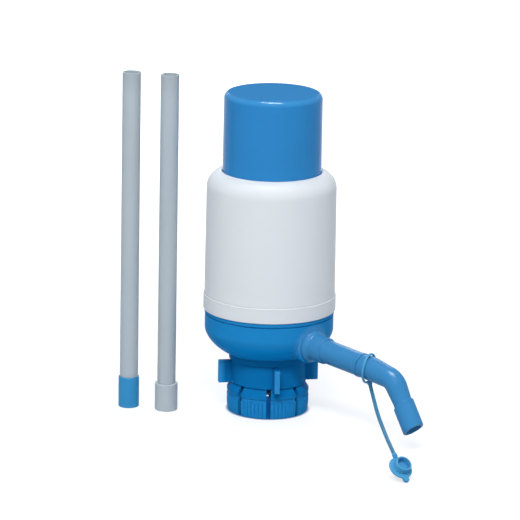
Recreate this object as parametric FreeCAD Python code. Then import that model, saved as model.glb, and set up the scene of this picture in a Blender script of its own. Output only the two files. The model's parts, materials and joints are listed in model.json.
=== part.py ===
"""Hand pump for a five-gallon water jug, with its two dip tubes standing beside it.

Frame: millimetres, +Z up.  The origin is the centre of the collet's mouth, on the
plane that the pump stands on.  The spout reaches towards +X.
Each piece is one solid (or one group of solids) in parts/NODE.step.
"""
import FreeCAD, Part
import math
import os
from FreeCAD import Placement, Rotation, Vector

# ---- clearances -----------------------------------------------------------------
PUSH_GAP = 0.05       # radial, between pieces pushed together for good
RUN_GAP = 0.3         # between pieces that move past each other
BEARING_GAP = 0.06    # radial, between a seal and the bore it turns in
TUBE_GRIP = 0.2       # radial, by which a socket squeezes the end of a dip tube

# ---- jug neck: collet, collar and gasket ----------------------------------------
NECK_BORE_R = 28.0    # takes a 55 mm jug neck with half a millimetre to spare
SEAT_Z = 18.0         # the jug's rim stops here, under the gasket
SEAT_CONE_H = 6.0     # height over which the fingers' bore narrows to the neck tube
GASKET_T = 2.2
GASKET_IN_R = 20.5
FINGER_FOOT_R = 31.1
FINGER_R = 31.7
FINGER_COUNT = 8
FINGER_BAND_H = 2.1   # plain band above the groove
FINGER_NECK_RISE = 1.6  # the fingers' shoulder meets the tube this far inside the collar
SLOT_W = 3.4
SLOT_TOP_Z = 30.0
SLOT_TURN = -42.4     # azimuth of the first slot, degrees
FLUTE_TOP_Z = 12.4
FLUTES_PER_FINGER = 6
FLUTE_W = 1.9
FLUTE_DEPTH = 0.8
GROOVE_TOP_Z = 15.4
GROOVE_DEPTH = 0.9
COLLET_IN_R = 24.4
COLLET_WALL = 2.2
COLLET_FLANGE_T = 3.0
COLLET_HEADROOM = 0.7  # the collet's flange reaches this far above its ledge's height
COLLAR_Z0 = 23.2
COLLAR_Z1 = 41.0
COLLAR_R = 29.0
COLLAR_LIP_R = 29.5
COLLAR_LIP_H = 1.1
COLLAR_LIP_W = 1.0
COLLAR_BEVEL = 2.2
WING_COUNT = 4
WING_R = 39.2
WING_T = 4.0
WING_Z0 = 22.2
WING_Z1 = 39.8
WING_TURN = -33.0     # azimuth of the first wing, degrees
WING_FILLET = 0.7
WING_ROOT = 1.0       # how far a wing reaches into the collar
WING_FOOT = 0.5       # the wing's foot drops to its lower edge over this far

# ---- base bowl ------------------------------------------------------------------
BOWL_WALL = 2.3
SKIRT_R = 30.5
SKIRT_WALL = 2.3
BOWL_FOOT_Z = 45.5    # where the underside leaves the skirt
BOWL_FLARE_R = 12.2   # the underside's curve sets off towards a point this far out ...
BOWL_FLARE_RISE = 5.0  # ... and this far up
BOWL_TURN_H = 6.0     # height over which it turns upright
BOWL_R = 49.7
BOWL_SIDE_Z = 66.0    # where the underside has turned into the upright side
BOWL_BAND_Z = 78.2    # the band above the groove
BOWL_BAND_STEP = 0.3
BOWL_GROOVE_H = 1.1
BOWL_GROOVE_D = 0.7
SPIGOT_STEP = 1.45    # the spigot under the barrel is this much smaller than the band
SPIGOT_WALL = 1.6
SPIGOT_Z1 = 86.8
FLOOR_T = 2.4
AIR_HOLE_R = 2.2
AIR_HOLE_COUNT = 4
AIR_HOLE_CENTRE_R = 17.0

# ---- water way: lengths are along the spout's own axis ----------------------------
SOCKET_WALL = 2.3
SOCKET_DEPTH = 24.0
DUCT_FOOT_W = 1.6     # ledge by which the duct stands on the bowl's floor
DUCT_FOOT_T = 1.6
WATER_R = 6.0
SPOUT_Z = 63.6        # height of the spout's axis over the pump's own axis
SPOUT_FALL = 3.7      # degrees below level
PIPE_SEAT = 38.0      # the pipe bottoms here in the bowl
PIPE_SEAT_T = 4.0
PIPE_ROOT_R = 10.5
PIPE_ROOT_END_R = 10.2
PIPE_ROOT_END = 64.0
PIPE_STEP_L = 0.4
PIPE_BEAD_R = 12.4    # bead that bottoms in the mouth of the bowl's boss
PIPE_BEAD_FROM = 45.8
PIPE_BEAD_TO = 50.4
PIPE_BEAD_SLOPE = 2.6
BOSS_END = 48.3
BOSS_WALL = 1.7
BOSS_BACK = 2.3       # wall behind the pipe's seat
BOSS_EDGE = 0.8
PIPE_R = 9.1
PIPE_MOUTH_R = 8.95
PIPE_BORE_R = 7.6
PIPE_END = 103.2
PIPE_LIP_R = 9.4
PIPE_LIP_L = 2.2
PIPE_LIP_SLOPE = 0.5

# ---- elbow and tip --------------------------------------------------------------
ELBOW_ROOT_R = 9.1
ELBOW_BEND_R = 8.2
ELBOW_TIP_R = 7.3
ELBOW_KNEE_AT = 113.2  # here, along the spout's axis, the elbow leaves that axis ...
ELBOW_KNEE = 4.3      # ... by this many degrees, downwards
ELBOW_CORNER = 22.55  # where the two straight legs would meet, from the knee
ELBOW_TURN = 49.0     # degrees
ELBOW_CURVE = 12.5    # radius of the bend's centre line
SPIGOT_L = 20.0
SPIGOT_GROOVE_AT = 7.0
O_RING_WIRE_R = 0.75
ELBOW_BORE_R = 5.4
TIP_FROM = 20.0       # the sleeve's ends, from the corner along the nozzle
TIP_TO = 40.45
TIP_R = 8.37
TIP_BORE_R = 6.3
TIP_LEAD_R = 6.55     # the bore's wider lead-in for the cap's plug
TIP_ROOT_SLANT = 14.0  # degrees off square; both cuts lie nearer the elbow on the bend's outer side
TIP_MOUTH_SLANT = 10.0
TIP_SOCKET_L = 11.0   # how far the elbow reaches into the sleeve
TIP_ROOT_EDGE = 0.35
TIP_MOUTH_EDGE = 0.7
TIP_TAPER_L = 3.0     # the nozzle is down to the sleeve's size this far before it

# ---- tether ---------------------------------------------------------------------
TETHER_AT = 109.2
TETHER_IN_R = 10.15
TETHER_WALL = 1.5
TETHER_W = 1.8
TETHER_DROP = 0.35    # the loose ring hangs this far below the spout's axis
TETHER_TILT = 20.0
STRAP_R = 1.45
STRAP_ROUTE = [(109.5, 1.3, 43.4), (114.1, 1.9, 30.1), (124.9, -4.6, 23.1), (136.9, -12.7, 19.8),
               (148.7, -21.2, 17.9), (160.8, -30.2, 16.8), (172.4, -38.9, 16.3), (184.3, -48.0, 16.2)]
STRAP_CUT = 0.45      # share of the shorter run that each arc takes
STRAP_ROOT_R = 1.9
STRAP_ROOT_L = 3.4
CAP_ROOT_L = 2.5
CAP_R = 9.1
CAP_T = 1.7
CAP_YAW = -14.2       # degrees, heading of the cap's tab about the vertical
CAP_DIP = 39.4        # degrees that the tab points down
CAP_ROLL = -4.9
PLUG_R = 6.22
PLUG_WALL = 1.3
PLUG_L = 5.3
PLUG_FLOOR = 0.6
TAB_L = 3.3
TAB_W = 4.6

# ---- barrel, button and bellows -------------------------------------------------
BARREL_Z0 = 81.0
BARREL_Z1 = 189.3
BARREL_RIM_STEP = 1.0  # the rim stands this far out from the bowl's band
BARREL_RIM_H = 12.0
BARREL_WAIST_STEP = 0.7  # the wall above the rim stands this far in from it
BARREL_DRAFT = 0.52   # and leans in by this much up to the shoulder
BARREL_WALL = 2.2
BARREL_ROOF = 3.0
BARREL_SHOULDER = 13.0
BARREL_CROWN = 9.0    # degrees by which the top falls from the button's opening to the shoulder
BARREL_INNER_FILLET = 7.6
GUIDE_Z = 184.0       # lower edge of the guide sleeve round the button
GUIDE_WALL = 1.6
CLAMP_W = 3.0         # ledge in the barrel that presses the valve plate down
CLAMP_H = 2.0
SEAL_T = 1.2
PLATE_T = 2.5
BUTTON_R = 38.0
BUTTON_TOP_R = 37.7
BUTTON_WALL = 2.0
BUTTON_Z1 = 250.6
BUTTON_FILLET = 5.0
FLANGE_W = 3.5
FLANGE_T = 2.6
BELLOWS_R = 34.0
BELLOWS_IN_R = 28.5
BELLOWS_WALL = 1.2
BELLOWS_SLANT = 1.2   # a slanted wall measured level is this many times its thickness
BELLOWS_FOLDS = 12
BELLOWS_NECK_R = 12.0
BELLOWS_CAP_T = 3.0
PLATE_BOSS_H = 3.0
PLATE_BOSS_WALL = 2.0
CAP_RIM_R = 26.0
CAP_RIM_H = 7.0       # room over the intake valve, under the button's roof
CAP_RIM_WALL = 2.0
CAP_NOTCH_COUNT = 6
CAP_NOTCH_W = 6.0
CAP_NOTCH_SILL = 2.0
SPRING_R = 22.0
SPRING_WIRE_R = 1.2
SPRING_TURNS = 6
VALVE_R = 8.0
VALVE_T = 1.2
VALVE_STEM_R = 1.6
VALVE_HEAD_R = 2.6
VALVE_HEAD_H = 1.6
VALVE_LIFT = 1.5
PORT_R = 1.8
PORT_CENTRE_R = 5.0
PORT_COUNT = 5

# ---- dip tubes ------------------------------------------------------------------
TUBE_R = 7.05
TUBE_BORE_R = 5.5
TUBE_TOP_Z = 264.0
TUBE_BULGE_H = 0.4    # above a socket the tube swells back to its free size
BLUE_COUPLER_R = 8.0
BLUE_COUPLER_L = 24.0
WHITE_COUPLER_R = 8.75
WHITE_COUPLER_L = 21.4
COUPLER_STOP_T = 1.0
COUPLER_EDGE = 0.5
TUBE_1_AT = (-73.8, -78.6)
TUBE_2_AT = (-48.6, -62.2)

# ---- sizes that follow ----------------------------------------------------------
FLOOR_Z = SEAT_Z + GASKET_T
COLLET_R = COLLET_IN_R + COLLET_WALL
COLLET_TOP_Z = COLLAR_Z1 + RUN_GAP + COLLET_FLANGE_T + COLLET_HEADROOM
SKIRT_IN_R = SKIRT_R - SKIRT_WALL
NECK_TUBE_R = COLLET_IN_R - PUSH_GAP
COLLAR_IN_R = COLLET_R + RUN_GAP
TUBE_HELD_R = TUBE_R - TUBE_GRIP
SOCKET_R = TUBE_HELD_R + PUSH_GAP
DUCT_R = SOCKET_R + SOCKET_WALL
BOWL_BAND_R = BOWL_R + BOWL_BAND_STEP
SPIGOT_R = BOWL_BAND_R - SPIGOT_STEP
SPIGOT_IN_R = SPIGOT_R - SPIGOT_WALL
BARREL_RIM_R = BOWL_BAND_R + BARREL_RIM_STEP
BARREL_R = BARREL_RIM_R - BARREL_WAIST_STEP
BARREL_TOP_R = BARREL_R - BARREL_DRAFT
PLATE_Z0 = SPIGOT_Z1 + SEAL_T
PLATE_Z1 = PLATE_Z0 + PLATE_T
BUTTON_SKIRT_Z = GUIDE_Z - RUN_GAP - FLANGE_T
BELLOWS_Z1 = BUTTON_Z1 - BUTTON_WALL - CAP_RIM_H - BELLOWS_CAP_T
BEND_CUT = ELBOW_CURVE * math.tan(math.radians(ELBOW_TURN / 2))
UP = Vector(0, 0, 1)
FORE = Vector(1, 0, 0)
SPOUT_PLACE = Placement(Vector(0, 0, SPOUT_Z), Rotation(Vector(0, 1, 0), SPOUT_FALL))


# ---- helpers --------------------------------------------------------------------
def rounded_outline(corners):
    """Closed wire in the XZ plane through (r, z) or (r, z, corner radius) points."""
    edges = []
    ends = []
    count = len(corners)
    for i, corner in enumerate(corners):
        point = Vector(corner[0], 0, corner[1])
        if len(corner) == 2:
            ends.append((point, point))
            continue
        before = corners[i - 1]
        after = corners[(i + 1) % count]
        to_before = (Vector(before[0], 0, before[1]) - point).normalize()
        to_after = (Vector(after[0], 0, after[1]) - point).normalize()
        half = to_before.getAngle(to_after) / 2
        start = point + to_before * (corner[2] / math.tan(half))
        end = point + to_after * (corner[2] / math.tan(half))
        inward = (to_before + to_after).normalize()
        middle = point + inward * (corner[2] / math.sin(half) - corner[2])
        edges.append(Part.Arc(start, middle, end).toShape())
        ends.append((start, end))
    for i in range(count):
        start = ends[i][1]
        end = ends[(i + 1) % count][0]
        if start.distanceToPoint(end) > 1e-6:
            edges.append(Part.LineSegment(start, end).toShape())
    return Part.Wire(Part.__sortEdges__(edges))


def turned(wire):
    """Solid of revolution about Z of a closed wire in the XZ plane."""
    return Part.Face(wire).revolve(Vector(0, 0, 0), UP, 360)


def turned_outline(corners):
    return turned(rounded_outline(corners))


def ring(r_in, r_out, z0, z1):
    return turned_outline([(r_in, z0), (r_out, z0), (r_out, z1), (r_in, z1)])


def rod(radius, start, end):
    return Part.makeCylinder(radius, (end - start).Length, start, end - start)


def around(shape, count, first=0.0):
    """Copies of a shape spaced evenly about Z, as one compound."""
    copies = []
    for i in range(count):
        copy = shape.copy()
        copy.rotate(Vector(0, 0, 0), UP, first + 360.0 * i / count)
        copies.append(copy)
    return Part.makeCompound(copies)


def along_spout(shape):
    """Move a shape built on +X from the origin onto the spout's axis."""
    moved = shape.copy()
    moved.Placement = SPOUT_PLACE.multiply(moved.Placement)
    return moved


def spout_point(distance):
    return SPOUT_PLACE.multVec(Vector(distance, 0, 0))


def turned_on_x(corners):
    """Solid of revolution about X of an outline of (x, r) points."""
    wire = rounded_outline([(r, x) + tuple(rest) for x, r, *rest in corners])
    solid = turned(wire)
    solid.rotate(Vector(0, 0, 0), Vector(0, 1, 0), 90)
    return solid


# ---- jug neck -------------------------------------------------------------------
def neck_collet():
    """Sprung fingers that grip the jug's neck, below a tube that holds the collar."""
    shoulder_z = GROOVE_TOP_Z + FINGER_BAND_H
    ledge_z = COLLET_TOP_Z - COLLET_FLANGE_T
    flange_r = SKIRT_IN_R - RUN_GAP
    groove_r = FINGER_R - GROOVE_DEPTH
    body = turned_outline([
        (NECK_BORE_R, 0), (FINGER_FOOT_R, 0, 0.6), (FINGER_R, FLUTE_TOP_Z * 0.5), (FINGER_R, FLUTE_TOP_Z),
        (groove_r, FLUTE_TOP_Z), (groove_r, GROOVE_TOP_Z), (FINGER_R, GROOVE_TOP_Z),
        (FINGER_R, shoulder_z, 1.0), (COLLET_R, COLLAR_Z0 + FINGER_NECK_RISE), (COLLET_R, ledge_z),
        (flange_r, ledge_z), (flange_r, COLLET_TOP_Z), (COLLET_IN_R, COLLET_TOP_Z),
        (COLLET_IN_R, SEAT_Z + SEAT_CONE_H), (NECK_BORE_R, SEAT_Z)])
    inner = COLLET_IN_R - COLLET_WALL
    outer = FINGER_R + COLLET_WALL
    slot = Part.makeBox(outer - inner, SLOT_W, SLOT_TOP_Z + 1, Vector(inner, -SLOT_W / 2, -1))
    slot_end = rod(SLOT_W / 2, Vector(inner, 0, SLOT_TOP_Z), Vector(outer, 0, SLOT_TOP_Z))
    body = body.cut(around(slot.fuse(slot_end), FINGER_COUNT, SLOT_TURN))
    return body.cut(collet_flutes())


def collet_flutes():
    """Upright grip grooves on the foot of each finger."""
    finger = 360.0 / FINGER_COUNT
    slot = math.degrees(SLOT_W / FINGER_R)
    step = (finger - slot) / (FLUTES_PER_FINGER + 1)
    outside = FINGER_R + FLUTE_DEPTH / 2
    notch = Part.makePolygon([
        Vector(outside, -FLUTE_W / 2, -1), Vector(FINGER_R - FLUTE_DEPTH, 0, -1),
        Vector(outside, FLUTE_W / 2, -1), Vector(outside, -FLUTE_W / 2, -1)])
    groove = Part.Face(notch).extrude(Vector(0, 0, FLUTE_TOP_Z + 1))
    rows = []
    for i in range(FLUTES_PER_FINGER):
        turn = SLOT_TURN + slot / 2 + step * (i + 1)
        rows.append(around(groove, FINGER_COUNT, turn))
    return Part.makeCompound(rows)


def clamp_collar():
    """Winged collar that screws down over the fingers' shoulder."""
    lip_z = COLLAR_Z0 + COLLAR_LIP_H
    ring_body = turned_outline([
        (COLLAR_IN_R, COLLAR_Z0 + COLLAR_BEVEL), (COLLAR_LIP_R - COLLAR_LIP_W, COLLAR_Z0),
        (COLLAR_LIP_R, COLLAR_Z0, 0.3), (COLLAR_LIP_R, lip_z, 0.3), (COLLAR_R, lip_z),
        (COLLAR_R, COLLAR_Z1, 0.6), (COLLAR_IN_R, COLLAR_Z1)])
    return ring_body.fuse(around(collar_wing(), WING_COUNT, WING_TURN)).removeSplitter()


def collar_wing():
    """Upright finger grip; its foot keeps clear of the collet's shoulder."""
    root = COLLAR_R - WING_ROOT
    side = [(root, COLLAR_Z0 + COLLAR_LIP_H), (COLLAR_LIP_R, COLLAR_Z0), (COLLAR_LIP_R + WING_FOOT, WING_Z0),
            (WING_R, WING_Z0), (WING_R, WING_Z1), (root, WING_Z1)]
    plate = Part.Face(rounded_outline(side)).extrude(Vector(0, WING_T, 0))
    plate.translate(Vector(0, -WING_T / 2, 0))
    outer = [e for e in plate.Edges if e.BoundBox.XMin > WING_R - 0.01]
    return plate.makeFillet(WING_FILLET, outer)


def jug_gasket():
    """Rubber ring between the jug's rim and the pump's floor."""
    outer = NECK_BORE_R - (NECK_BORE_R - COLLET_IN_R) * GASKET_T / SEAT_CONE_H - RUN_GAP
    return turned_outline([
        (GASKET_IN_R, SEAT_Z, 0.5), (outer, SEAT_Z, 0.5), (outer, FLOOR_Z), (GASKET_IN_R, FLOOR_Z)])


# ---- base bowl ------------------------------------------------------------------
def bowl_curve(wall):
    """Poles of the underside's curve, moved in by a wall thickness."""
    side_r = BOWL_R - wall
    return [(SKIRT_R - wall, BOWL_FOOT_Z + wall),
            (SKIRT_R + BOWL_FLARE_R - wall * 0.8, BOWL_FOOT_Z + BOWL_FLARE_RISE + wall),
            (side_r, BOWL_SIDE_Z - BOWL_TURN_H), (side_r, BOWL_SIDE_Z)]


def curve_edge(poles):
    curve = Part.BezierCurve()
    curve.setPoles([Vector(r, 0, z) for r, z in poles])
    return curve.toShape()


def line_edges(points):
    places = [Vector(r, 0, z) for r, z in points]
    return [Part.LineSegment(a, b).toShape() for a, b in zip(places, places[1:])]


def bowl_shell():
    """Bowl, skirt and neck tube as one turned wall."""
    outside = bowl_curve(0.0)
    inside = bowl_curve(BOWL_WALL)
    groove_z = BOWL_BAND_Z - BOWL_GROOVE_H
    groove_r = BOWL_R - BOWL_GROOVE_D
    hole_r = DUCT_R + PUSH_GAP
    lower = [(hole_r, FLOOR_Z), (NECK_TUBE_R, FLOOR_Z), (NECK_TUBE_R, COLLET_TOP_Z),
             (SKIRT_IN_R, COLLET_TOP_Z), (SKIRT_IN_R, COLLAR_Z1 + RUN_GAP),
             (SKIRT_R, COLLAR_Z1 + RUN_GAP), outside[0]]
    upper = [outside[-1], (BOWL_R, groove_z), (groove_r, groove_z), (groove_r, BOWL_BAND_Z),
             (BOWL_BAND_R, BOWL_BAND_Z), (BOWL_BAND_R, BARREL_Z0), (SPIGOT_R, BARREL_Z0),
             (SPIGOT_R, SPIGOT_Z1), (SPIGOT_IN_R, SPIGOT_Z1), inside[-1]]
    inner = [inside[0], (NECK_TUBE_R - BOWL_WALL, COLLET_TOP_Z + BOWL_WALL),
             (NECK_TUBE_R - BOWL_WALL, FLOOR_Z + FLOOR_T), (hole_r, FLOOR_Z + FLOOR_T),
             (hole_r, FLOOR_Z)]
    edges = line_edges(lower) + [curve_edge(outside)] + line_edges(upper) + [curve_edge(inside)]
    return turned(Part.Wire(Part.__sortEdges__(edges + line_edges(inner))))


def base_bowl():
    """Bowl with the air chamber, and the boss that carries the outlet pipe."""
    seat = spout_point(PIPE_SEAT)
    body = bowl_shell().fuse(pipe_boss())
    body = body.cut(rod(DUCT_R + PUSH_GAP, Vector(0, 0, SPOUT_Z), seat))
    body = body.cut(rod(PIPE_ROOT_R + PUSH_GAP, seat, spout_point(PIPE_ROOT_END)))
    body = body.cut(rod(PIPE_BEAD_R + PUSH_GAP, spout_point(PIPE_BEAD_FROM), spout_point(PIPE_ROOT_END)))
    hole = Part.makeCylinder(AIR_HOLE_R, FLOOR_T + 2, Vector(AIR_HOLE_CENTRE_R, 0, FLOOR_Z - 1))
    return body.cut(around(hole, AIR_HOLE_COUNT, 45.0))


def water_duct():
    """Bent duct from the dip tube's socket in the bowl's floor to the outlet pipe's seat."""
    centre = Vector(0, 0, SPOUT_Z)
    floor_top = FLOOR_Z + FLOOR_T
    body = rod(DUCT_R, Vector(0, 0, FLOOR_Z), centre)
    body = body.fuse(Part.makeSphere(DUCT_R, centre))
    body = body.fuse(rod(DUCT_R, centre, spout_point(PIPE_SEAT)))
    body = body.fuse(ring(SOCKET_R, DUCT_R + DUCT_FOOT_W, floor_top, floor_top + DUCT_FOOT_T))
    body = body.cut(rod(SOCKET_R, Vector(0, 0, FLOOR_Z - 1), Vector(0, 0, FLOOR_Z + SOCKET_DEPTH)))
    body = body.cut(rod(WATER_R, Vector(0, 0, FLOOR_Z), centre))
    body = body.cut(Part.makeSphere(WATER_R, centre))
    return body.cut(rod(WATER_R, centre, spout_point(PIPE_SEAT + 1.0)))


def pipe_boss():
    """Boss through the bowl's side that the outlet pipe's root is pushed into."""
    back = PIPE_SEAT - BOSS_BACK
    back_r = PIPE_ROOT_R + PUSH_GAP + BOSS_BACK
    mouth_r = PIPE_BEAD_R + PUSH_GAP + BOSS_WALL
    return along_spout(turned_on_x([
        (back, 0), (back, back_r), (PIPE_BEAD_FROM - BOSS_BACK, mouth_r), (BOSS_END, mouth_r, BOSS_EDGE),
        (BOSS_END, 0)]))


# ---- spout ----------------------------------------------------------------------
def outlet_pipe():
    """Straight pipe: stout root with a bead, pushed into the bowl's boss, and a lip at its mouth."""
    lip = PIPE_END - PIPE_LIP_L
    seat_end = PIPE_SEAT + PIPE_SEAT_T
    return along_spout(turned_on_x([
        (PIPE_SEAT, WATER_R), (PIPE_SEAT, PIPE_ROOT_R), (PIPE_BEAD_FROM, PIPE_ROOT_R),
        (PIPE_BEAD_FROM, PIPE_BEAD_R), (PIPE_BEAD_TO, PIPE_BEAD_R, 1.6),
        (PIPE_BEAD_TO + PIPE_BEAD_SLOPE, PIPE_ROOT_R, 2.4), (PIPE_ROOT_END, PIPE_ROOT_END_R, 0.6),
        (PIPE_ROOT_END + PIPE_STEP_L, PIPE_R), (lip - PIPE_LIP_SLOPE, PIPE_MOUTH_R), (lip, PIPE_LIP_R),
        (PIPE_END, PIPE_LIP_R, 0.5), (PIPE_END, PIPE_BORE_R), (seat_end, PIPE_BORE_R), (seat_end, WATER_R)]))


def in_frame(frame, shape):
    moved = shape.copy()
    moved.Placement = frame.multiply(moved.Placement)
    return moved


def leg_frame():
    """Placement at the elbow's knee, with +X along its first leg."""
    knee = Placement(Vector(ELBOW_KNEE_AT, 0, 0), Rotation(Vector(0, 1, 0), ELBOW_KNEE))
    return SPOUT_PLACE.multiply(knee)


def nozzle_frame():
    """Placement at the elbow's corner, with +X along the nozzle."""
    corner = Placement(Vector(ELBOW_CORNER, 0, 0), Rotation(Vector(0, 1, 0), ELBOW_TURN))
    return leg_frame().multiply(corner)


def bend_solid(radius):
    """Round bend between the elbow's two legs."""
    start = Vector(ELBOW_CORNER - BEND_CUT, 0, 0)
    disc = Part.Face(Part.Wire(Part.makeCircle(radius, start, FORE)))
    pivot = start - Vector(0, 0, ELBOW_CURVE)
    return in_frame(leg_frame(), disc.revolve(pivot, Vector(0, 1, 0), ELBOW_TURN))


def spout_elbow():
    """Swivelling elbow: spigot, root, tapered leg, bend and tapered nozzle, bored right through."""
    spigot_r = PIPE_BORE_R - BEARING_GAP
    start = PIPE_END - SPIGOT_L
    groove = start + SPIGOT_GROOVE_AT
    groove_r = spigot_r - 2 * O_RING_WIRE_R
    face = PIPE_END + RUN_GAP
    leg_end = ELBOW_CORNER - BEND_CUT
    nozzle_end = TIP_FROM + TIP_SOCKET_L
    knee = spout_point(ELBOW_KNEE_AT)
    root = along_spout(turned_on_x([
        (start, 0), (start, spigot_r, 0.6), (groove - O_RING_WIRE_R, spigot_r),
        (groove - O_RING_WIRE_R, groove_r), (groove + O_RING_WIRE_R, groove_r),
        (groove + O_RING_WIRE_R, spigot_r), (face, spigot_r), (face, ELBOW_ROOT_R, 0.5),
        (ELBOW_KNEE_AT, ELBOW_ROOT_R), (ELBOW_KNEE_AT, 0)]))
    leg = turned_on_x([(0, 0), (0, ELBOW_ROOT_R), (leg_end, ELBOW_BEND_R), (leg_end, 0)])
    nozzle = turned_on_x([
        (BEND_CUT, 0), (BEND_CUT, ELBOW_BEND_R), (TIP_FROM - TIP_TAPER_L, ELBOW_TIP_R),
        (nozzle_end, ELBOW_TIP_R, 0.5), (nozzle_end, 0)])
    body = root.fuse(Part.makeSphere(ELBOW_ROOT_R, knee)).fuse(in_frame(leg_frame(), leg))
    body = body.fuse(bend_solid(ELBOW_BEND_R)).fuse(in_frame(nozzle_frame(), nozzle))
    leg_bore = Part.makeCylinder(ELBOW_BORE_R, leg_end, Vector(0, 0, 0), FORE)
    nozzle_bore = Part.makeCylinder(ELBOW_BORE_R, nozzle_end + 1 - BEND_CUT, Vector(BEND_CUT, 0, 0), FORE)
    body = body.cut(rod(ELBOW_BORE_R, spout_point(start - 1), knee))
    body = body.cut(Part.makeSphere(ELBOW_BORE_R, knee)).cut(in_frame(leg_frame(), leg_bore))
    return body.cut(bend_solid(ELBOW_BORE_R)).cut(in_frame(nozzle_frame(), nozzle_bore))


def spout_o_ring():
    """Seal in the spigot's groove."""
    centre = PIPE_END - SPIGOT_L + SPIGOT_GROOVE_AT
    middle_r = PIPE_BORE_R - BEARING_GAP - O_RING_WIRE_R
    return along_spout(Part.makeTorus(middle_r, O_RING_WIRE_R, Vector(centre, 0, 0), FORE))


def spout_tip():
    """Sleeve on the nozzle's end, cut on the slant at both ends."""
    socket_r = ELBOW_TIP_R + PUSH_GAP
    step = TIP_FROM + TIP_SOCKET_L
    lead = TIP_TO - TIP_R * math.tan(math.radians(TIP_MOUTH_SLANT))
    spare = TIP_R
    sleeve = turned_on_x([
        (TIP_FROM - spare, socket_r), (TIP_FROM - spare, TIP_R), (TIP_TO + spare, TIP_R),
        (TIP_TO + spare, TIP_LEAD_R), (lead, TIP_LEAD_R), (lead, TIP_BORE_R), (step, TIP_BORE_R),
        (step, socket_r)])
    sleeve = sleeve.cut(slanted_block(TIP_FROM, TIP_ROOT_SLANT, -1))
    sleeve = sleeve.cut(slanted_block(TIP_TO, TIP_MOUTH_SLANT, 1))
    for place, edge in ((TIP_FROM, TIP_ROOT_EDGE), (TIP_TO, TIP_MOUTH_EDGE)):
        rims = [e for e in sleeve.Edges if e.BoundBox.YLength > 2 * TIP_R - 0.1
                and abs(e.BoundBox.Center.x - place) < spare]
        sleeve = sleeve.makeFillet(edge, rims)
    return in_frame(nozzle_frame(), sleeve)


def slanted_block(at, slant, side):
    """Block that takes off all of the nozzle before (side -1) or past (side 1) a slanted plane."""
    size = 10 * TIP_R
    block = Part.makeBox(size, size, size, Vector(0 if side > 0 else -size, -size / 2, -size / 2))
    block.rotate(Vector(0, 0, 0), Vector(0, 1, 0), -slant)
    block.translate(Vector(at, 0, 0))
    return block


# ---- tether ---------------------------------------------------------------------
def strap_points():
    return [Vector(*p) for p in STRAP_ROUTE]


def tether_ring():
    """Loose ring round the elbow's root, with the stub that the strap grows from."""
    drop = Vector(0, 0, TETHER_DROP)
    outer = TETHER_IN_R + TETHER_WALL
    edge = TETHER_WALL * 0.35
    band = turned_outline([
        (TETHER_IN_R, -TETHER_W / 2, edge), (outer, -TETHER_W / 2, edge), (outer, TETHER_W / 2, edge),
        (TETHER_IN_R, TETHER_W / 2, edge)])
    band.rotate(Vector(0, 0, 0), Vector(0, 1, 0), 90 + SPOUT_FALL)
    band.rotate(Vector(0, 0, 0), UP, TETHER_TILT)
    band.translate(spout_point(TETHER_AT) - drop)
    points = strap_points()
    back = (points[0] - points[1]).normalize()
    stub = rod(STRAP_ROOT_R, points[0], points[0] + back * STRAP_ROOT_L)
    first = spout_point(TETHER_AT - outer) - drop
    inside = rod(TETHER_IN_R + edge, first, spout_point(TETHER_AT + outer) - drop)
    return band.fuse(stub.cut(inside))


def cap_strap():
    """Strap from the ring to the cap: straight runs joined by tangent arcs."""
    points = strap_points()
    runs = [(b - a).Length for a, b in zip(points, points[1:])]
    edges = []
    at = points[0]
    radii = []
    for i in range(1, len(points) - 1):
        back = (points[i - 1] - points[i]).normalize()
        ahead = (points[i + 1] - points[i]).normalize()
        turn = math.pi - back.getAngle(ahead)
        cut = STRAP_CUT * min(runs[i - 1], runs[i])
        radius = cut / math.tan(turn / 2)
        start = points[i] + back * cut
        end = points[i] + ahead * cut
        centre = points[i] + (back + ahead).normalize() * math.hypot(cut, radius)
        middle = centre + (points[i] - centre).normalize() * radius
        edges.append(Part.LineSegment(at, start).toShape())
        edges.append(Part.Arc(start, middle, end).toShape())
        at = end
        radii.append(radius)
    edges.append(Part.LineSegment(at, points[-1]).toShape())
    path = Part.Wire(edges)
    section = Part.Wire(Part.makeCircle(STRAP_R, points[0], points[1] - points[0]))
    tube = path.makePipeShell([section], True, False)
    print("strap length", round(path.Length, 2), "radii", [round(r, 1) for r in radii])
    print("strap volume", round(tube.Volume, 2), "section x length",
          round(math.pi * STRAP_R ** 2 * path.Length, 2))
    return tube


def cap_frame():
    """Placement at the cap's centre: +X from strap to tab, +Z out of the plug's mouth."""
    turn = Rotation(UP, CAP_YAW).multiply(Rotation(Vector(0, 1, 0), CAP_DIP))
    turn = turn.multiply(Rotation(FORE, CAP_ROLL))
    return Placement(strap_points()[-1] + turn.multVec(FORE) * (CAP_ROOT_L + CAP_R), turn)


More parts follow.
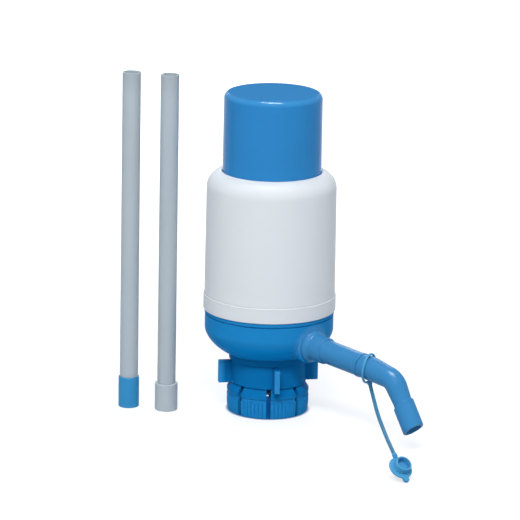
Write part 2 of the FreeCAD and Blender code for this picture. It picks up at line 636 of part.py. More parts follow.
def dust_cap():
    """Cap with a hollow plug for the spout's mouth, a pull tab and the strap's root."""
    place = cap_frame()
    half = CAP_T / 2
    top = half + PLUG_L
    body = turned_outline([
        (0, -half), (CAP_R, -half, 0.6), (CAP_R, half, 0.6), (PLUG_R, half), (PLUG_R, top, 0.5),
        (PLUG_R - PLUG_WALL, top), (PLUG_R - PLUG_WALL, half + PLUG_FLOOR), (0, half + PLUG_FLOOR)])
    tab = Part.makeBox(TAB_L + 2.0, TAB_W, CAP_T, Vector(CAP_R - 2.0, -TAB_W / 2, -half))
    corners = [e for e in tab.Edges if e.BoundBox.ZLength > half and e.BoundBox.XMin > CAP_R]
    body = body.fuse(tab.makeFillet(TAB_W * 0.4, corners))
    body.Placement = place
    points = strap_points()
    ahead = (points[-1] - points[-2]).normalize()
    root = rod(STRAP_ROOT_R, points[-1], points[-1] + ahead * STRAP_ROOT_L)
    hollow = Part.makeCylinder(PLUG_R - PLUG_WALL / 2, 2 * PLUG_L, Vector(0, 0, half))
    hollow.Placement = place
    return body.fuse(root.cut(hollow))


# ---- barrel and what works in it ------------------------------------------------
def barrel():
    """Outer casing: rim over the bowl, round shoulder, guide sleeve for the button."""
    opening = BUTTON_R + RUN_GAP
    sleeve = opening + GUIDE_WALL
    rim_z = BARREL_Z0 + BARREL_RIM_H
    inner_r = BARREL_TOP_R - BARREL_WALL
    clamp_r = SPIGOT_R - CLAMP_W
    roof = BARREL_Z1 - BARREL_ROOF
    crown_z = BARREL_Z1 - (BARREL_TOP_R - opening) * math.tan(math.radians(BARREL_CROWN))
    return turned_outline([
        (SPIGOT_R + PUSH_GAP, BARREL_Z0), (BARREL_RIM_R, BARREL_Z0, 0.4),
        (BARREL_RIM_R, rim_z - BARREL_WAIST_STEP), (BARREL_R, rim_z),
        (BARREL_TOP_R, crown_z, BARREL_SHOULDER), (opening, BARREL_Z1, 0.4), (opening, GUIDE_Z),
        (sleeve, GUIDE_Z), (sleeve, roof), (inner_r, roof, BARREL_INNER_FILLET),
        (inner_r, PLATE_Z1 + CLAMP_H), (clamp_r, PLATE_Z1 + CLAMP_H), (clamp_r, PLATE_Z1),
        (SPIGOT_R + PUSH_GAP, PLATE_Z1)])


def plate_seal():
    """Flat seal between the bowl's spigot and the valve plate."""
    return ring(SPIGOT_IN_R, SPIGOT_R - PUSH_GAP, SPIGOT_Z1, PLATE_Z0)


def valve_plate():
    """Plate that closes the bowl, with the ports of the outlet valve."""
    plate = Part.makeCylinder(SPIGOT_R - PUSH_GAP, PLATE_T, Vector(0, 0, PLATE_Z0))
    boss_r = BELLOWS_NECK_R - PUSH_GAP
    boss = ring(boss_r - PLATE_BOSS_WALL, boss_r, PLATE_Z1, PLATE_Z1 + PLATE_BOSS_H)
    return plate.fuse(boss).cut(valve_ports(PLATE_Z0, PLATE_Z1))


def valve_ports(z0, z1):
    """Stem hole and ring of ports under an umbrella valve."""
    stem = Part.makeCylinder(VALVE_STEM_R + RUN_GAP, z1 - z0 + 2, Vector(0, 0, z0 - 1))
    port = Part.makeCylinder(PORT_R, z1 - z0 + 2, Vector(PORT_CENTRE_R, 0, z0 - 1))
    return Part.makeCompound([stem, around(port, PORT_COUNT)])


def umbrella_valve(under_z, plate_t):
    """Rubber disc below a plate, hung by a stem with a head above it."""
    disc_top = under_z - RUN_GAP / 3
    head = under_z + plate_t + VALVE_LIFT + RUN_GAP
    return turned_outline([
        (0, disc_top - VALVE_T), (VALVE_R, disc_top - VALVE_T * 0.5), (VALVE_R, disc_top),
        (VALVE_STEM_R, disc_top), (VALVE_STEM_R, head), (VALVE_HEAD_R, head),
        (VALVE_HEAD_R - 0.6, head + VALVE_HEAD_H), (0, head + VALVE_HEAD_H)])


def bellows():
    """Folded air chamber between the valve plate and the button's cap."""
    bottom = PLATE_Z1
    top = BELLOWS_Z1
    level_wall = BELLOWS_WALL * BELLOWS_SLANT
    step = (top - bottom - 2 * BELLOWS_WALL) / BELLOWS_FOLDS
    outside = [(BELLOWS_NECK_R, bottom), (BELLOWS_IN_R, bottom)]
    inside = [(BELLOWS_NECK_R, bottom + BELLOWS_WALL), (BELLOWS_IN_R - BELLOWS_WALL, bottom + BELLOWS_WALL)]
    for i in range(BELLOWS_FOLDS):
        low = bottom + BELLOWS_WALL + step * i
        outside.append((BELLOWS_R, low + step / 2))
        inside.append((BELLOWS_R - level_wall, low + step / 2))
        outside.append((BELLOWS_IN_R, low + step))
        inside.append((BELLOWS_IN_R - level_wall, low + step))
    outside.append((BELLOWS_IN_R, top))
    outside.append((BELLOWS_NECK_R, top))
    inside[-1] = (BELLOWS_IN_R - BELLOWS_WALL, top - BELLOWS_WALL)
    inside.append((BELLOWS_NECK_R, top - BELLOWS_WALL))
    return turned_outline(outside + inside[::-1])


def bellows_cap():
    """Disc on the bellows, with the intake valve's ports and a notched rim under the button's roof."""
    top = BELLOWS_Z1 + BELLOWS_CAP_T
    disc = Part.makeCylinder(BELLOWS_IN_R, BELLOWS_CAP_T, Vector(0, 0, BELLOWS_Z1))
    rim = ring(CAP_RIM_R - CAP_RIM_WALL, CAP_RIM_R, top, top + CAP_RIM_H)
    notch = Part.makeBox(4 * CAP_RIM_WALL, CAP_NOTCH_W, CAP_RIM_H,
                         Vector(CAP_RIM_R - 2 * CAP_RIM_WALL, -CAP_NOTCH_W / 2, top + CAP_NOTCH_SILL))
    body = disc.fuse(rim).cut(around(notch, CAP_NOTCH_COUNT))
    return body.cut(valve_ports(BELLOWS_Z1, top))


def return_spring():
    """Coil spring with ground ends, standing inside the bellows."""
    low = PLATE_Z1 + BELLOWS_WALL
    high = BELLOWS_Z1 - BELLOWS_WALL
    pitch = (high - low) / SPRING_TURNS
    helix = Part.makeHelix(pitch, high - low, SPRING_R)
    helix.translate(Vector(0, 0, low))
    start = Vector(SPRING_R, 0, low)
    heading = Vector(0, 2 * math.pi * SPRING_R, pitch)
    section = Part.Wire(Part.makeCircle(SPRING_WIRE_R, start, heading))
    coil = Part.Wire(helix).makePipeShell([section], True, True)
    width = 4 * SPRING_R
    slab = Part.makeBox(width, width, high - low, Vector(-width / 2, -width / 2, low))
    return coil.common(slab)


def press_button():
    """Cup that the palm pushes, with a flange that keeps it in the barrel."""
    inner = BUTTON_R - BUTTON_WALL
    roof = BUTTON_Z1 - BUTTON_WALL
    flange_r = BUTTON_R + FLANGE_W
    flange_z = BUTTON_SKIRT_Z + FLANGE_T
    return turned_outline([
        (0, BUTTON_Z1), (BUTTON_TOP_R, BUTTON_Z1, BUTTON_FILLET), (BUTTON_R, GUIDE_Z),
        (BUTTON_R, flange_z), (flange_r, flange_z), (flange_r, BUTTON_SKIRT_Z), (inner, BUTTON_SKIRT_Z),
        (inner, roof, BUTTON_FILLET - BUTTON_WALL), (0, roof)])


# ---- dip tubes ------------------------------------------------------------------
def coupler(radius, length, place):
    """Sleeve with a tube stop half way: upper socket holds a tube, the lower is free."""
    middle = length / 2
    stop = middle - COUPLER_STOP_T
    body = turned_outline([
        (SOCKET_R, 0), (radius, 0, COUPLER_EDGE), (radius, length, COUPLER_EDGE), (SOCKET_R, length),
        (SOCKET_R, middle), (TUBE_BORE_R, middle), (TUBE_BORE_R, stop), (SOCKET_R, stop)])
    body.translate(Vector(place[0], place[1], 0))
    return body


def dip_tube(coupler_length, place):
    """Tube whose foot is squeezed into its coupler; above it the tube has its free size."""
    foot = coupler_length / 2
    body = turned_outline([
        (TUBE_BORE_R, foot), (TUBE_HELD_R, foot), (TUBE_HELD_R, coupler_length),
        (TUBE_R, coupler_length + TUBE_BULGE_H), (TUBE_R, TUBE_TOP_Z), (TUBE_BORE_R, TUBE_TOP_Z)])
    body.translate(Vector(place[0], place[1], 0))
    return body


PIECES = {
    "neck_collet": neck_collet,
    "clamp_collar": clamp_collar,
    "jug_gasket": jug_gasket,
    "water_duct": water_duct,
    "base_bowl": base_bowl,
    "outlet_pipe": outlet_pipe,
    "spout_elbow": spout_elbow,
    "spout_o_ring": spout_o_ring,
    "spout_tip": spout_tip,
    "tether_ring": tether_ring,
    "cap_strap": cap_strap,
    "dust_cap": dust_cap,
    "barrel": barrel,
    "plate_seal": plate_seal,
    "valve_plate": valve_plate,
    "outlet_valve": lambda: umbrella_valve(PLATE_Z0, PLATE_T),
    "bellows": bellows,
    "bellows_cap": bellows_cap,
    "intake_valve": lambda: umbrella_valve(BELLOWS_Z1, BELLOWS_CAP_T),
    "return_spring": return_spring,
    "press_button": press_button,
    "dip_tube_1": lambda: dip_tube(BLUE_COUPLER_L, TUBE_1_AT),
    "tube_coupler_blue": lambda: coupler(BLUE_COUPLER_R, BLUE_COUPLER_L, TUBE_1_AT),
    "dip_tube_2": lambda: dip_tube(WHITE_COUPLER_L, TUBE_2_AT),
    "tube_coupler_white": lambda: coupler(WHITE_COUPLER_R, WHITE_COUPLER_L, TUBE_2_AT),
}


def main():
    os.makedirs("parts", exist_ok=True)
    for node, make in PIECES.items():
        shape = make()
        shape.exportStep("parts/" + node + ".step")
        box = shape.BoundBox
        print(node, "solids", len(shape.Solids), "valid", shape.isValid(), "volume", round(shape.Volume, 1),
              "z", round(box.ZMin, 2), round(box.ZMax, 2))


main()
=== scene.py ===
"""Looks of the water jug hand pump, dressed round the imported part. Metres, +Z up."""
import bpy
import json
import math
from mathutils import Matrix, Vector


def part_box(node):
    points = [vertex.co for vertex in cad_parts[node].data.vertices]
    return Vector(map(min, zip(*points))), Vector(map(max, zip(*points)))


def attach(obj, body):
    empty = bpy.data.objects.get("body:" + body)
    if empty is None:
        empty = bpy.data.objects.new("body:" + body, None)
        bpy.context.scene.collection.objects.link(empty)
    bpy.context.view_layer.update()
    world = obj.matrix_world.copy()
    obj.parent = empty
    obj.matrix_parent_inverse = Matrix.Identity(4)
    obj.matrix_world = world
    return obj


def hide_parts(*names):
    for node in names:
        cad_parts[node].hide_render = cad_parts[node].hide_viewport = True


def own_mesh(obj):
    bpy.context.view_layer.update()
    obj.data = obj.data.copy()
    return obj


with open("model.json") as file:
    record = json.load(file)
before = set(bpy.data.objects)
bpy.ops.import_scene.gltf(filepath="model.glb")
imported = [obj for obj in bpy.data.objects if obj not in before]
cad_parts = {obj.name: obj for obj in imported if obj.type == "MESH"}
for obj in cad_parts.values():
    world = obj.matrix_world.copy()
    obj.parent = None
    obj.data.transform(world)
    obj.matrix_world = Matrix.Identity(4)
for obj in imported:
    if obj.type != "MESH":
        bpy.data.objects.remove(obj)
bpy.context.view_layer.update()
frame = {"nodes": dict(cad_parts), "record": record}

# ---- camera -----------------------------------------------------------------------
PHOTO_PX = 520.0
FOCAL_PX = 3491.8             # focal length in photograph pixels
ORIGIN_PX = (267.3, 407.5)    # where the photograph shows the foot of the pump's axis
SENSOR_MM = 36.0
CAMERA_TURN = 46.0            # degrees round from the front, towards the spout's side
CAMERA_REACH = 2.6            # level distance from the pump's axis
CAMERA_HEIGHT = 0.79
CAMERA_ROLL = 1.1             # degrees
CAMERA_SIGHT = 20.0           # nothing further off is drawn
AIM_ROUNDS = 30               # small turns that bring the origin to its pixel

# ---- stage ------------------------------------------------------------------------
SKY_COLOUR = (0.90, 0.93, 1.0)
SKY_LIGHT = 0.66
FLOOR_HALF = 6.0
FLOOR_DROP = 0.0002           # the floor lies this far below the feet
FLOOR_COLOUR = (0.42, 0.43, 0.44)
GLOW_REACH = (0.25, 0.9)      # between these distances from the pump the floor's glow for the eye ...
GLOW_LIGHT = (0.60, 0.92)     # ... grows from the first of these to the second
PAINTED_SHADOW_R = 0.0303              # inside this radius the floor carries a painted shadow under the collet
PAINTED_SHADOW_FADE = 0.003
# painted shadow: dark blue ground under the collet, and a faint blue glow standing in for light off its
# blue walls
PAINTED_SHADOW_COLOUR = (0.006, 0.05, 0.12)
PAINTED_SHADOW_GLOW = (0.0, 0.09, 0.34)

# name, place, point aimed at, width and height, watts, whether it lights matt surfaces
LAMPS = [("key", (1.18, -1.41, 1.96), (0, 0, 0.12), (1.4, 0.28), 45, True),
         ("back_fill", (-1.45, 1.30, 1.15), (0, 0, 0.12), (1.2, 0.8), 15, True),
         ("glint", (0.12, -0.18, 1.45), (0, 0, 0.15), (0.60, 0.45), 130, False)]

# ---- plastic ----------------------------------------------------------------------
DRIFT_SCALE = 22.0            # patches of slightly different colour and gloss
DRIFT_DETAIL = 3.0
GLOSS_DRIFT = 0.15            # share by which the roughness wanders either way
GRAIN_SCALE = 900.0           # fine skin
GRAIN_DETAIL = 2.0
GRAIN_STRENGTH = 0.25
EDGE_SAMPLES = 6
THROUGH_GAIN = 1.1            # light that comes through a milky wall is this much paler than the wall

# ---- where the plastic is tinted: painted light and shade, and the tubes' darker cut end, each as the span over which the tint fades ---
WAIST_R = (0.034, 0.038)      # the collar's barrel lies inside, its wings reach outside
WAIST_Z = (0.0145, 0.0175)    # the flutes lie below, the fingers' slopes and the collar above
WING_Z = (0.046, 0.048)       # the wings lie below, the bowl's underside above
UNDERSIDE_Z = (0.058, 0.063)  # the bowl's underside lies below, its upright side above
SPOUT_Z = 0.0636              # height of the spout's axis over the pump's own axis
SPOUT_FALL = 3.7              # degrees below level
BOSS_R = (0.0143, 0.0180)     # from the spout's axis: the boss lies inside
BOSS_X = (0.030, 0.034)       # the boss stands out beyond
BOSS_Z = (0.050, 0.066)       # its painted light grows upwards ...
BOSS_FOOT_SHARE = 0.1         # ... from this share
RIM_H = 0.012                 # height of the barrel's rim
LEDGE_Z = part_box("barrel")[0].z + RIM_H
LEDGE_FOOT_Z = (LEDGE_Z - 0.0016, LEDGE_Z - 0.0008)
LEDGE_HEAD_Z = (LEDGE_Z + 0.0004, LEDGE_Z + 0.0012)
BUTTON_TOP_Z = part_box("press_button")[1].z
ROOF_Z = (BUTTON_TOP_Z - 0.0008, BUTTON_TOP_Z - 0.0002)
EDGE_FOOT_Z = (BUTTON_TOP_Z - 0.0045, BUTTON_TOP_Z - 0.0025)
EDGE_HEAD_Z = (BUTTON_TOP_Z - 0.0010, BUTTON_TOP_Z - 0.0004)
CUT_END = (0.93, 1.0)         # in shares of a tube's height

# ---- the strap's route, as in the part --------------------------------------------
STRAP_R = 0.00145
STRAP_ROUTE = [(0.1095, 0.0013, 0.0434), (0.1141, 0.0019, 0.0301), (0.1249, -0.0046, 0.0231),
               (0.1369, -0.0127, 0.0198), (0.1487, -0.0212, 0.0179), (0.1608, -0.0302, 0.0168),
               (0.1724, -0.0389, 0.0163), (0.1843, -0.0480, 0.0162)]


# ---- camera -----------------------------------------------------------------------
def camera_axes(yaw, pitch):
    """Right, up and back directions of a camera turned by yaw and tipped down by pitch."""
    turn = math.radians(CAMERA_TURN)
    ahead = Vector((-math.sin(turn), math.cos(turn), 0))
    side = Vector((math.cos(turn), math.sin(turn), 0))
    level = ahead * math.cos(yaw) + side * math.sin(yaw)
    right = side * math.cos(yaw) - ahead * math.sin(yaw)
    forward = level * math.cos(pitch) - Vector((0, 0, math.sin(pitch)))
    up = level * math.sin(pitch) + Vector((0, 0, math.cos(pitch)))
    return right, up, -forward


def make_camera():
    """Camera at the photograph's angle, aimed so that the origin falls on its pixel."""
    turn = math.radians(CAMERA_TURN)
    place = Vector((CAMERA_REACH * math.sin(turn), -CAMERA_REACH * math.cos(turn), CAMERA_HEIGHT))
    roll = math.radians(CAMERA_ROLL)
    right_px, down_px = (pixel - PHOTO_PX / 2 for pixel in ORIGIN_PX)
    want = (right_px * math.cos(roll) + down_px * math.sin(roll),
            down_px * math.cos(roll) - right_px * math.sin(roll))
    yaw = 0.0
    pitch = math.atan2(CAMERA_HEIGHT, CAMERA_REACH)
    for _ in range(AIM_ROUNDS):
        right, up, back = camera_axes(yaw, pitch)
        depth = place.dot(back)
        across = -place.dot(right) / depth * FOCAL_PX
        down = place.dot(up) / depth * FOCAL_PX
        yaw += (across - want[0]) / FOCAL_PX
        pitch += (down - want[1]) / FOCAL_PX
    data = bpy.data.cameras.new("photo_camera")
    data.sensor_width = SENSOR_MM
    data.lens = FOCAL_PX / PHOTO_PX * SENSOR_MM
    data.clip_end = CAMERA_SIGHT
    camera = bpy.data.objects.new("photo_camera", data)
    bpy.context.scene.collection.objects.link(camera)
    axes = Matrix((right, up, back)).transposed()
    camera.matrix_world = Matrix.Translation(place) @ axes.to_4x4() @ Matrix.Rotation(roll, 4, "Z")
    bpy.context.scene.camera = camera


# ---- nodes ------------------------------------------------------------------------
def node_material(name):
    """A new material, its node tree and its surface shader."""
    material = bpy.data.materials.new(name)
    material.use_nodes = True
    tree = material.node_tree
    return material, tree, tree.nodes["Principled BSDF"]


def coordinates(tree, kind="Object"):
    return tree.nodes.new("ShaderNodeTexCoord").outputs[kind]


def axis_value(tree, axis, kind="Object"):
    """The coordinate along X, Y or Z."""
    split = tree.nodes.new("ShaderNodeSeparateXYZ")
    tree.links.new(coordinates(tree, kind), split.inputs[0])
    return split.outputs[axis]


def vector_step(tree, operation, vector, other):
    step = tree.nodes.new("ShaderNodeVectorMath")
    step.operation = operation
    step.inputs[1].default_value = other
    tree.links.new(vector, step.inputs[0])
    return step.outputs["Vector"]


def length_of(tree, vector):
    step = tree.nodes.new("ShaderNodeVectorMath")
    step.operation = "LENGTH"
    tree.links.new(vector, step.inputs[0])
    return step.outputs["Value"]


def combine(tree, operation, *values):
    """All the values taken together, by one operation."""
    total = values[0]
    for value in values[1:]:
        step = tree.nodes.new("ShaderNodeMath")
        step.operation = operation
        tree.links.new(total, step.inputs[0])
        tree.links.new(value, step.inputs[1])
        total = step.outputs[0]
    return total


def between(tree, value, span, low, high):
    """Low below the span, high above it, and a straight slope from one to the other."""
    spread = tree.nodes.new("ShaderNodeMapRange")
    spread.inputs["From Min"].default_value, spread.inputs["From Max"].default_value = span
    spread.inputs["To Min"].default_value = low
    spread.inputs["To Max"].default_value = high
    tree.links.new(value, spread.inputs["Value"])
    return spread.outputs["Result"]


def above(tree, value, span):
    """One above the span, fading to nought below it."""
    return between(tree, value, span, 0, 1)


def below(tree, value, span):
    """One below the span, fading to nought above it."""
    return between(tree, value, span, 1, 0)


def noise(tree, scale, detail):
    """Random patches from nought to one, fixed to the piece."""
    texture = tree.nodes.new("ShaderNodeTexNoise")
    texture.inputs["Scale"].default_value = scale
    texture.inputs["Detail"].default_value = detail
    tree.links.new(coordinates(tree), texture.inputs["Vector"])
    return texture.outputs["Fac"]


def two_tone(tree, factor, low, high):
    """The low colour where the factor is nought and the high one where it is one."""
    mix = tree.nodes.new("ShaderNodeMix")
    mix.data_type = "RGBA"
    mix.inputs["A"].default_value = [*low, 1]
    mix.inputs["B"].default_value = [*high, 1]
    tree.links.new(factor, mix.inputs["Factor"])
    return mix.outputs["Result"]


def show_mix(tree, share, plain, cover, output="Material Output"):
    """Show the plain node where share, a socket or a number, is nought, and the cover where it is one."""
    mix = tree.nodes.new("ShaderNodeMixShader")
    if isinstance(share, bpy.types.NodeSocket):
        tree.links.new(share, mix.inputs[0])
    else:
        mix.inputs[0].default_value = share
    tree.links.new(plain.outputs[0], mix.inputs[1])
    tree.links.new(cover.outputs[0], mix.inputs[2])
    tree.links.new(mix.outputs[0], tree.nodes[output].inputs[0])


# ---- places on the pump, as shares from nought to one ------------------------------
def axis_reach(tree):
    """Distance from the pump's own axis."""
    return length_of(tree, vector_step(tree, "MULTIPLY", coordinates(tree), (1, 1, 0)))


def spout_reach(tree):
    """Distance from the spout's axis."""
    fall = math.radians(SPOUT_FALL)
    heading = (math.cos(fall), 0, -math.sin(fall))
    from_root = vector_step(tree, "SUBTRACT", coordinates(tree), (0, 0, SPOUT_Z))
    return length_of(tree, vector_step(tree, "CROSS_PRODUCT", from_root, heading))


def painted_waist_shade(tree):
    """Painted shade: the narrow part between the bowl and the fingers' flutes, darkened as if the bowl's
    shadow fell on it.
    """
    return combine(tree, "MULTIPLY", below(tree, axis_reach(tree), WAIST_R),
                   above(tree, axis_value(tree, "Z"), WAIST_Z))


def painted_wing_light(tree):
    """Painted light: the collar's outer parts, made paler where they stand out into the light."""
    return combine(tree, "MULTIPLY", above(tree, axis_reach(tree), WAIST_R),
                   below(tree, axis_value(tree, "Z"), WING_Z))


def painted_underside_light(tree):
    """Painted light: the bowl's lower face, outside the shaded narrow part, made paler and bluer than the
    lamps leave it.
    """
    return combine(tree, "MULTIPLY", above(tree, axis_reach(tree), WAIST_R),
                   below(tree, axis_value(tree, "Z"), UNDERSIDE_Z),
                   above(tree, axis_value(tree, "Z"), WING_Z))


def painted_boss_light(tree):
    """Painted light: the rim of the bowl's boss round the spout, paler most of all on its upper side, as
    if lit from above.
    """
    return combine(tree, "MULTIPLY", below(tree, spout_reach(tree), BOSS_R),
                   above(tree, axis_value(tree, "X"), BOSS_X),
                   between(tree, axis_value(tree, "Z"), BOSS_Z, BOSS_FOOT_SHARE, 1))


def painted_ledge_shade(tree):
    """Painted shade: the ledge over the barrel's rim, darkened to dull the light it catches."""
    return combine(tree, "MULTIPLY", above(tree, axis_value(tree, "Z"), LEDGE_FOOT_Z),
                   below(tree, axis_value(tree, "Z"), LEDGE_HEAD_Z))


def painted_edge_light(tree):
    """Painted light: the round edge below the button's flat top, made paler as if it caught the light from
    above.
    """
    return combine(tree, "MULTIPLY", above(tree, axis_value(tree, "Z"), EDGE_FOOT_Z),
                   below(tree, axis_value(tree, "Z"), EDGE_HEAD_Z))


def painted_roof_shade(tree):
    """The button's flat top, made matt and given painted shade."""
    return above(tree, axis_value(tree, "Z"), ROOF_Z)


def cut_end(tree):
    """A tube's cut top."""
    return above(tree, axis_value(tree, "Z", "Generated"), CUT_END)


# ---- materials --------------------------------------------------------------------
def moulded_plastic(name, colour, roughness, gloss=0.03, grain=0.00004, wander=0.06, edge=0.0004, ior=1.5):
    """Injection-moulded plastic: slight colour drift, uneven gloss, a fine skin and soft edges."""
    material, tree, shader = node_material(name)
    nodes, links = tree.nodes, tree.links
    drift = noise(tree, DRIFT_SCALE, DRIFT_DETAIL)
    darker = [part * (1 - wander) for part in colour]
    paler = [min(1, part * (1 + wander)) for part in colour]
    links.new(two_tone(tree, drift, darker, paler), shader.inputs["Base Color"])
    rough = between(tree, drift, (0, 1), roughness * (1 - GLOSS_DRIFT), roughness * (1 + GLOSS_DRIFT))
    links.new(rough, shader.inputs["Roughness"])
    soft = nodes.new("ShaderNodeBevel")
    soft.samples = EDGE_SAMPLES
    soft.inputs["Radius"].default_value = edge
    bump = nodes.new("ShaderNodeBump")
    bump.inputs["Strength"].default_value = GRAIN_STRENGTH
    bump.inputs["Distance"].default_value = grain
    links.new(noise(tree, GRAIN_SCALE, GRAIN_DETAIL), bump.inputs["Height"])
    links.new(soft.outputs["Normal"], bump.inputs["Normal"])
    links.new(bump.outputs["Normal"], shader.inputs["Normal"])
    shader.inputs["Specular IOR Level"].default_value = gloss
    shader.inputs["IOR"].default_value = ior
    return material


def tint_part(material, share, tint, how="MIX"):
    """Lay the tint over the plastic's colour where share is one, or multiply the colour by it."""
    tree = material.node_tree
    shader = tree.nodes["Principled BSDF"]
    plain = shader.inputs["Base Color"].links[0].from_socket
    mix = tree.nodes.new("ShaderNodeMix")
    mix.data_type = "RGBA"
    mix.blend_type = how
    mix.inputs["B"].default_value = [*tint, 1]
    tree.links.new(plain, mix.inputs["A"])
    tree.links.new(share(tree), mix.inputs["Factor"])
    tree.links.new(mix.outputs["Result"], shader.inputs["Base Color"])


def matt_part(material, share, colour):
    """Give the plastic a plain matt skin of this colour where share is one."""
    tree = material.node_tree
    skin = tree.nodes.new("ShaderNodeBsdfDiffuse")
    skin.inputs["Color"].default_value = [*colour, 1]
    show_mix(tree, share(tree), tree.nodes["Principled BSDF"], skin)


def frosted_plastic(name, colour, roughness, clear=0.3):
    """Milky wall: light also comes through it from behind."""
    material = moulded_plastic(name, colour, roughness, wander=0.03)
    tree = material.node_tree
    through = tree.nodes.new("ShaderNodeBsdfTranslucent")
    through.inputs["Color"].default_value = [*(min(1, part * THROUGH_GAIN) for part in colour), 1]
    show_mix(tree, clear, tree.nodes["Principled BSDF"], through)
    return material


def base_plastic():
    """Blue of the bowl, collar and collet, with painted shade under the bowl and painted light on the
    collar's outer parts, the bowl's lower face and the boss round the spout.
    """
    material = moulded_plastic("base_blue_plastic", (0.014, 0.225, 0.53), 0.30,
                               gloss=0.12, edge=0.00015, ior=1.08)
    # painted shade under the bowl, darkening the collar and the fingers' slopes
    tint_part(material, painted_waist_shade, (0.25, 0.69, 0.77), "MULTIPLY")
    # painted light, paler and bluer on the bowl's lower face
    tint_part(material, painted_underside_light, (0.003, 0.262, 0.665))
    # painted light on the boss round the spout, strongest on its upper side
    tint_part(material, painted_boss_light, (0.055, 0.26, 0.53))
    # painted light, paler where the collar's outer parts stand out into the light
    tint_part(material, painted_wing_light, (0.028, 0.26, 0.57))
    return material


def button_plastic():
    """Glossy blue of the button, with painted light on its round edge and a matt flat top in a darker
    painted shade.
    """
    material = moulded_plastic("button_blue_plastic", (0.026, 0.215, 0.50), 0.11,
                               gloss=0.9, grain=0.00001, ior=1.08)
    # painted light on the button's round edge
    tint_part(material, painted_edge_light, (0.042, 0.252, 0.53))
    # matt flat top whose darker colour is painted shade against the stronger light on it
    matt_part(material, painted_roof_shade, (0.041, 0.205, 0.44))
    return material


def barrel_plastic():
    """Off-white of the barrel, with painted shade on the ledge over its rim."""
    material = moulded_plastic("barrel_white_plastic", (0.68, 0.71, 0.73), 0.36,
                               gloss=0.02, wander=0.012, edge=0.0009)
    # painted shade, dulling the light on the ledge over the rim
    tint_part(material, painted_ledge_shade, (0.90, 0.90, 0.90), "MULTIPLY")
    return material


def tube_plastic():
    """Frosted wall of the dip tubes, darker at the cut end."""
    material = frosted_plastic("tube_frosted_plastic", (0.55, 0.62, 0.66), 0.42)
    tint_part(material, cut_end, (0.82, 0.82, 0.82), "MULTIPLY")
    return material


def spring_steel():
    material = moulded_plastic("spring_steel", (0.55, 0.55, 0.55), 0.3)
    material.node_tree.nodes["Principled BSDF"].inputs["Metallic"].default_value = 1.0
    return material


def make_finishes():
    """The material of each of the record's slots."""
    return {
        "base_blue": base_plastic(),
        "spout_blue": moulded_plastic("spout_blue_plastic", (0.042, 0.225, 0.470), 0.28, gloss=0.04),
        "button_blue": button_plastic(),
        "tether_blue": moulded_plastic("tether_blue_plastic", (0.072, 0.325, 0.575), 0.42),
        "barrel_white": barrel_plastic(),
        "inner_white": moulded_plastic("inner_white_plastic", (0.78, 0.78, 0.76), 0.5),
        "coupler_blue": moulded_plastic("coupler_blue_plastic", (0.04, 0.265, 0.53), 0.35, gloss=0.06),
        "coupler_clear": frosted_plastic("coupler_clear_plastic", (0.58, 0.65, 0.69), 0.4),
        "tube_frosted": tube_plastic(),
        "seal_rubber": moulded_plastic("seal_rubber", (0.02, 0.05, 0.09), 0.6),
        "spring_steel": spring_steel(),
    }


# ---- pieces -----------------------------------------------------------------------
def add_piece(name, data, material):
    """A new piece with this material in place of whatever its data had."""
    piece = bpy.data.objects.new(name, data)
    bpy.context.scene.collection.objects.link(piece)
    dress(data, material)
    return piece


def dress(data, material):
    """Give a mesh or curve this material alone."""
    data.materials.clear()
    data.materials.append(material)


def make_strap(material):
    """Smooth strap from the tether ring to the cap."""
    curve = bpy.data.curves.new("cap_strap_line", "CURVE")
    curve.dimensions = "3D"
    curve.bevel_depth = STRAP_R
    curve.bevel_resolution = 8
    curve.resolution_u = 24
    curve.use_fill_caps = True
    spline = curve.splines.new("NURBS")
    spline.points.add(len(STRAP_ROUTE) - 1)
    for point, place in zip(spline.points, STRAP_ROUTE):
        point.co = (*place, 1.0)
    spline.order_u = 3
    spline.use_endpoint_u = True
    strap = add_piece("strap", curve, material)
    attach(strap, "tether")
    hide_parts("cap_strap")


def make_folding(name, node, material):
    """A piece in place of a node under the button, fixed as a whole to the pump's base."""
    piece = add_piece(name, frame["nodes"][node].data.copy(), material)
    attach(piece, "pump_base")
    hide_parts(node)
    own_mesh(piece)


# ---- stage and light --------------------------------------------------------------
def seen_ray(tree):
    """One where the camera, a mirror or a clear body looks, and nought for light on its way."""
    path = tree.nodes.new("ShaderNodeLightPath")
    return combine(tree, "MAXIMUM", path.outputs["Is Camera Ray"], path.outputs["Is Glossy Ray"],
                   path.outputs["Is Transmission Ray"])


def make_world():
    """White to the eye, and a softer, cooler light on the pump."""
    world = bpy.data.worlds.new("studio")
    bpy.context.scene.world = world
    world.use_nodes = True
    tree = world.node_tree
    light = tree.nodes["Background"]
    light.inputs["Color"].default_value = [*SKY_COLOUR, 1]
    light.inputs["Strength"].default_value = SKY_LIGHT
    white = tree.nodes.new("ShaderNodeBackground")
    white.inputs["Color"].default_value = (1, 1, 1, 1)
    white.inputs["Strength"].default_value = 1.0
    show_mix(tree, seen_ray(tree), light, white, "World Output")


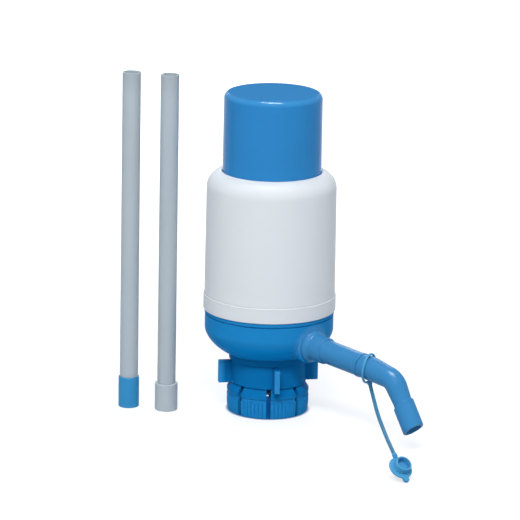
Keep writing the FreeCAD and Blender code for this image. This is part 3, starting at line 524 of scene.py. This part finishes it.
def floor_material():
    """Pale, and white to the eye but for the object's shadow and a painted shadow: dark blue ground with a
    faint blue glow under the collet.
    """
    material, tree, shader = node_material("pale_floor")
    nodes, links = tree.nodes, tree.links
    shader.inputs["Roughness"].default_value = 0.9
    shader.inputs["Specular IOR Level"].default_value = 0.1
    reach = length_of(tree, coordinates(tree))
    # painted shadow: the ground under the collet is dark blue and glows faintly blue
    beyond_painted_shadow = above(tree, reach, (PAINTED_SHADOW_R, PAINTED_SHADOW_R + PAINTED_SHADOW_FADE))
    links.new(two_tone(tree, beyond_painted_shadow, PAINTED_SHADOW_COLOUR, FLOOR_COLOUR), shader.inputs["Base Color"])
    glow = nodes.new("ShaderNodeEmission")
    links.new(two_tone(tree, beyond_painted_shadow, PAINTED_SHADOW_GLOW, (1, 1, 1)), glow.inputs["Color"])
    links.new(between(tree, reach, GLOW_REACH, *GLOW_LIGHT), glow.inputs["Strength"])
    glowing = nodes.new("ShaderNodeAddShader")
    links.new(shader.outputs[0], glowing.inputs[0])
    links.new(glow.outputs[0], glowing.inputs[1])
    show_mix(tree, seen_ray(tree), shader, glowing)
    return material


def make_floor():
    half = FLOOR_HALF
    corners = [(-half, -half, 0), (half, -half, 0), (half, half, 0), (-half, half, 0)]
    mesh = bpy.data.meshes.new("floor")
    mesh.from_pydata(corners, [], [(0, 1, 2, 3)])
    floor = add_piece("floor", mesh, floor_material())
    floor.location.z = -FLOOR_DROP


def area_light(name, place, aim, size, watts, lights_surfaces):
    data = bpy.data.lights.new(name, "AREA")
    data.shape = "RECTANGLE"
    data.size, data.size_y = size
    data.energy = watts
    lamp = bpy.data.objects.new(name, data)
    bpy.context.scene.collection.objects.link(lamp)
    lamp.location = place
    lamp.rotation_euler = (Vector(aim) - Vector(place)).to_track_quat("-Z", "Y").to_euler()
    lamp.visible_diffuse = lights_surfaces


make_camera()
make_world()
make_floor()
for lamp in LAMPS:
    area_light(*lamp)

finishes = make_finishes()
for row in frame["record"]["subparts"]:
    dress(frame["nodes"][row["node"]].data, finishes[row["material_slot"]])
make_strap(moulded_plastic("strap_blue_plastic", (0.06, 0.22, 0.37), 0.45))
make_folding("bellows_folds", "bellows", finishes["inner_white"])
make_folding("return_coil", "return_spring", finishes["spring_steel"])

bpy.context.scene.view_settings.view_transform = "Standard"
